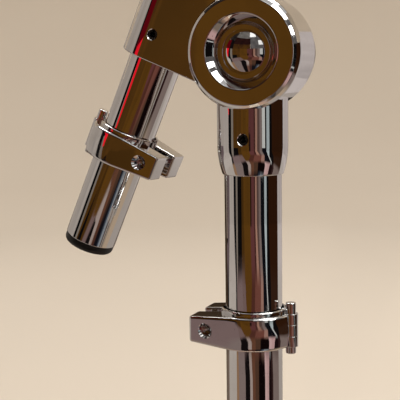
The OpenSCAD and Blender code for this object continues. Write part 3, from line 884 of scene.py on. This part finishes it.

# Glowing cards that only the plating mirrors; their colours are a painted reflection of a room. A band starts at
# these azimuths, at the wall and at three distances along the floor, and runs to the start of the next. Then come
# its colours far off, nearer, close by and, for some, right beside the part. Colours are as they look on a screen.
reaches = (1.27, 0.80, 0.55, 0.42, 0.035)  # in metres, from the wall to beside the part
bands = [
    ((-180, -180, -180, -180), (150, 140, 132), (150, 138, 130), (140, 128, 118)),
    ((-176, -176, -176, -176), (36, 28, 24), (44, 36, 30), (60, 50, 44)),
    ((-170, -170, -170, -170), (150, 140, 132), (150, 138, 130), (140, 128, 118)),
    ((-164, -164, -164, -164), (56, 43, 31), (60, 46, 34), (96, 82, 70)),
    ((-120, -118, -118, -118), (95, 80, 80), (30, 24, 22), (110, 94, 84)),
    ((-94, -104, -106, -108), (162, 152, 143), (168, 158, 149), (160, 150, 140)),
    ((-68, -60, -60, -60), (14, 12, 12), (20, 16, 16), (130, 100, 75)),
    ((-57, -55, -53, -49), (118, 108, 98), (110, 91, 88), (115, 100, 95)),
    ((-49, -50, -44, -36), (12, 10, 10), (110, 91, 88), (115, 100, 95)),
    ((-32, -30, -26, -20), (66, 42, 14), (104, 84, 80), (16, 12, 12)),
    ((-22, -18, -8, -1), (84, 54, 17), (82, 53, 19), (146, 130, 122), (96, 66, 54)),
    ((4, 9, 2, 9), (88, 50, 48), (72, 40, 32), (90, 58, 42), (60, 36, 30)),
    ((20, 22, 18, 20), (60, 32, 28), (100, 60, 50), (70, 48, 36), (18, 16, 20)),
    ((24, 30, 34, 34), (150, 112, 95), (100, 60, 50), (14, 8, 8), (22, 24, 30)),
    ((30, 40, 38, 38), (80, 62, 56), (100, 60, 50), (12, 5, 5), (56, 62, 72)),
    ((38, 45, 44, 45), (112, 97, 92), (140, 106, 94), (12, 5, 5), (120, 122, 124)),
    ((46, 55, 56, 60), (14, 14, 18), (14, 14, 18), (180, 147, 143), (60, 54, 50)),
    ((56, 60, 64, 68), (12, 12, 14), (12, 12, 16), (172, 138, 134), (110, 96, 84)),
    ((61, 68, 80, 77), (160, 168, 168), (170, 168, 164), (24, 12, 12), (120, 104, 88)),
    ((71, 72, 84, 90), (12, 10, 10), (14, 12, 12), (44, 28, 26), (140, 122, 102)),
    ((80, 88, 92, 98), (42, 21, 9), (46, 27, 17), (112, 97, 91), (160, 140, 118)),
    ((130, 130, 132, 134), (176, 165, 160), (168, 158, 150), (150, 140, 132)),
]
# glowing cards above the floor that paint more of the reflected room into the plating: name, azimuths, elevations,
# then the two colours that it is mottled with; a later one hangs in front
highCards = [
    ("olive top", (-46, 14), (13, 26), (72, 46, 16), (44, 24, 14)),
    ("maroon top", (-46, 20), (26, 46), (42, 20, 16), (24, 12, 12)),
    ("left top", (-112, -68), (13, 36), (156, 146, 138), (140, 130, 120)),
    ("left dark top", (-68, -46), (13, 36), (20, 14, 14), (12, 10, 10)),
    ("black top", (-110, -46), (36, 60), (20, 17, 16), (46, 40, 38)),
    ("grey top", (15, 112), (13, 60), (96, 92, 90), (70, 67, 66)),
    ("olive left", (-49, -20), (-4.5, 13), (76, 48, 17), (62, 40, 14)),
    ("left glow", (-150, -94), (-3, 13), (152, 142, 133), (142, 132, 122)),
    ("pale strip", (46, 56), (-5, 13), (185, 184, 178), (159, 158, 153)),
    ("dark seam", (4, 9), (-8.8, -2), (24, 14, 12), (38, 22, 18)),
    ("grey cap", (-46, 15), (46, 80), (112, 107, 102), (80, 76, 72)),
    # two white glowing cards that paint window highlights into the plating
    ("high window", (12, 40), (51, 68), (255, 254, 250), (255, 253, 248)),
    ("low window", (44, 62), (25, 39), (238, 236, 232), (226, 223, 218)),
]
cardSet = {
    "wallReach": 1.26, "wallTop": 13.0, "wallFoot": 0.1, "floorLift": 0.0003, "hangFrom": 0.02,
    "hangStep": 0.003, "hangRows": 4, "darker": 0.86, "mottle": 0.22, "wobble": 0.1,
    "plateLoss": 1.25,  # makes up for the light that the plating takes away
    # painted reflection colours that the floor cards give nearest the foot
    "atFoot": (206, 190, 172), "underfoot": (172, 140, 118),
}


def glowing(name, first, second):
    look = Finish(name)
    cloud = look.spread(look.grain(cardSet["mottle"], 3.0, 0.6), 0.3, 0.7)
    return shining(look, look.blend(cloud, painted(*first), painted(*second)))


def shining(look, colour):
    glow = look.node("ShaderNodeEmission", {}, {"Color": colour, "Strength": cardSet["plateLoss"]})
    look.node("ShaderNodeOutputMaterial", {}, {"Surface": glow})
    return look.material


def fading(name, far, near, close, under=None):
    # a floor band that changes with the distance in metres from the middle
    under = under or close
    look = Finish(name)
    distance = look.node("ShaderNodeVectorMath", {"operation": "LENGTH"}, {0: look.place()}, 1)
    wobble = distance + (look.grain(cardSet["mottle"], 3.0, 0.6) - 0.5) * cardSet["wobble"]
    stops = [(0.045, painted(*cardSet["atFoot"])), (0.07, painted(*cardSet["underfoot"])),
             (0.09, painted(*cardSet["underfoot"])), (0.135, painted(*under)), (0.23, painted(*under)),
             (0.32, painted(*close)), (0.47, painted(*close)), (0.56, painted(*near)),
             (0.78, painted(*near)), (0.92, painted(*far))]
    return shining(look, look.node("ShaderNodeValToRGB", {"stops": stops}, {"Fac": wobble}))


def platingOnly(card, material):
    # a stage object that shows only in glossy surfaces
    card.data.materials.append(material)
    card.visible_camera = False
    card.visible_diffuse = False
    card.visible_shadow = False
    card.visible_transmission = False


def makeCard(name, lower, upper, material):
    # lower and upper each give azimuths from and to, elevation or None for the floor, and reach
    shape = bmesh.new()
    bmesh.ops.create_grid(shape, x_segments=12, y_segments=6, size=1.0)
    for vertex in shape.verts:
        ends = []
        for (start, stop), elevation, reach in (lower, upper):
            a = math.radians(start + (stop - start) * (vertex.co.x + 1) / 2)
            flat = Vector((math.sin(a), -math.cos(a), 0))
            if elevation is None:
                ends.append(flat * reach + Vector((0, 0, studio["floor"] + cardSet["floorLift"])))
            else:
                e = math.radians(elevation)
                up = Vector((0, 0, reach * math.sin(e)))
                ends.append(flat * reach * math.cos(e) + up + Vector(studio["middle"]))
        vertex.co = ends[0].lerp(ends[1], (vertex.co.y + 1) / 2)
    platingOnly(solid(shape, name.replace(" ", "_")), material)


def makeCards():
    reach = cardSet["wallReach"]
    down = studio["floor"] - studio["middle"][2]
    floorEdge = math.degrees(math.asin(down / reach)) + cardSet["wallFoot"]
    for i, (starts, *colours) in enumerate(bands):
        following = bands[i + 1][0] if i + 1 < len(bands) else (180, 180, 180, 180)
        spans = list(zip(starts, following))
        spans.append(spans[-1])
        look = glowing(f"band {i}", colours[0], tuple(value * cardSet["darker"] for value in colours[0]))
        makeCard(f"wall_{i}", (spans[0], floorEdge, reach), (spans[0], cardSet["wallTop"], reach), look)
        look = fading(f"floor band {i}", *colours)
        for j in range(len(reaches) - 1):
            makeCard(f"floor_{i}_{j}", (spans[j + 1], None, reaches[j + 1]),
                     (spans[j], None, reaches[j]), look)


def makeHighCards():
    for i, (name, azimuths, elevations, first, second) in enumerate(highCards):
        look = glowing(name, first, second)
        reach = cardSet["wallReach"] - cardSet["hangFrom"] - cardSet["hangStep"] * i
        rise = (elevations[1] - elevations[0]) / cardSet["hangRows"]
        for j in range(cardSet["hangRows"]):
            low = elevations[0] + rise * j
            makeCard(f"{name} {j}", (azimuths, low, reach), (azimuths, low + rise, reach), look)


makeCards()
makeHighCards()

redGlow = {
    "at": (-0.158, -0.074), "width": 0.030, "mottle": 0.8,
    # lowest and highest point, share of the width at the foot and at the top, colour
    "bright": (0.152, 0.214, 0.35, 1.0, (238, 24, 40)),
    "dim": (0.214, 0.290, 1.5, 1.5, (92, 6, 14)),
}


def makeRedGlow(part):
    # a small glowing red panel close by on the left, seen only in the plating as a painted red reflection
    low, high, foot, top, colour = redGlow[part]
    at = Vector((*redGlow["at"], 0))
    side = Vector((-at.y, at.x, 0)).normalized() * redGlow["width"] / 2
    shape = bmesh.new()
    bmesh.ops.create_grid(shape, x_segments=4, y_segments=4, size=1.0)
    for vertex in shape.verts:
        share = (vertex.co.y + 1) / 2
        wide = foot + (top - foot) * share
        vertex.co = at + side * vertex.co.x * wide + Vector((0, 0, low + (high - low) * share))
    shade = tuple(value * redGlow["mottle"] for value in colour)
    platingOnly(solid(shape, "redGlow_" + part), glowing("red " + part, colour, shade))


makeRedGlow("bright")
makeRedGlow("dim")
print("cards hung")

lampColour = (1.0, 0.97, 0.93)
lamps = [
    # name, azimuth, elevation, distance, width, height, power
    ("highLamp", 82, 57, 1.18, 0.90, 0.50, 8.0),
    ("sideLamp", 77, 30, 1.18, 0.34, 0.24, 1.6),
    ("leftLamp", -132, 58, 1.9, 0.9, 0.5, 9.0),
    ("backLamp", 164, 62, 1.9, 0.8, 0.5, 9.0),
]


def makeLamp(name, azimuth, elevation, distance, width, height, power):
    light = bpy.data.lights.new(name, "AREA")
    light.shape = "RECTANGLE"
    light.size = width
    light.size_y = height
    light.energy = power
    light.color = lampColour
    lamp = bpy.data.objects.new(name, light)
    a, e = math.radians(azimuth), math.radians(elevation)
    offset = Vector((math.cos(e) * math.sin(a), -math.cos(e) * math.cos(a), math.sin(e))) * distance
    lamp.location = Vector(studio["middle"]) + offset
    lamp.rotation_euler = (-offset).to_track_quat("-Z", "Y").to_euler()
    bpy.context.scene.collection.objects.link(lamp)


for lamp in lamps:
    makeLamp(*lamp)

air = {"colour": (0.93, 0.90, 0.87, 1.0), "strength": 0.52}


def makeWorld():
    world = bpy.data.worlds.new("studio air")
    bpy.context.scene.world = world
    world.use_nodes = True
    background = world.node_tree.nodes["Background"]
    background.inputs["Color"].default_value = air["colour"]
    background.inputs["Strength"].default_value = air["strength"]


makeWorld()

camera = {
    "lens": 89.70, "sensor": 36.0, "at": (0.10738, -0.36954, 0.17323), "left": 19.28, "down": 7.14,
    "roll": -0.82, "nearest": 0.01, "farthest": 20.0,
}


def makeCamera():
    lens = bpy.data.cameras.new("camera")
    lens.lens = camera["lens"]
    lens.sensor_width = camera["sensor"]
    lens.clip_start = camera["nearest"]
    lens.clip_end = camera["farthest"]
    eye = bpy.data.objects.new("camera", lens)
    turn = Matrix.Rotation(math.radians(camera["left"]), 4, "Z")
    tip = Matrix.Rotation(math.radians(90 - camera["down"]), 4, "X")
    roll = Matrix.Rotation(math.radians(camera["roll"]), 4, "Z")
    eye.matrix_world = Matrix.Translation(camera["at"]) @ turn @ tip @ roll
    bpy.context.scene.collection.objects.link(eye)
    bpy.context.scene.camera = eye


makeCamera()
bpy.context.scene.view_settings.view_transform = "Standard"
print("studio made")
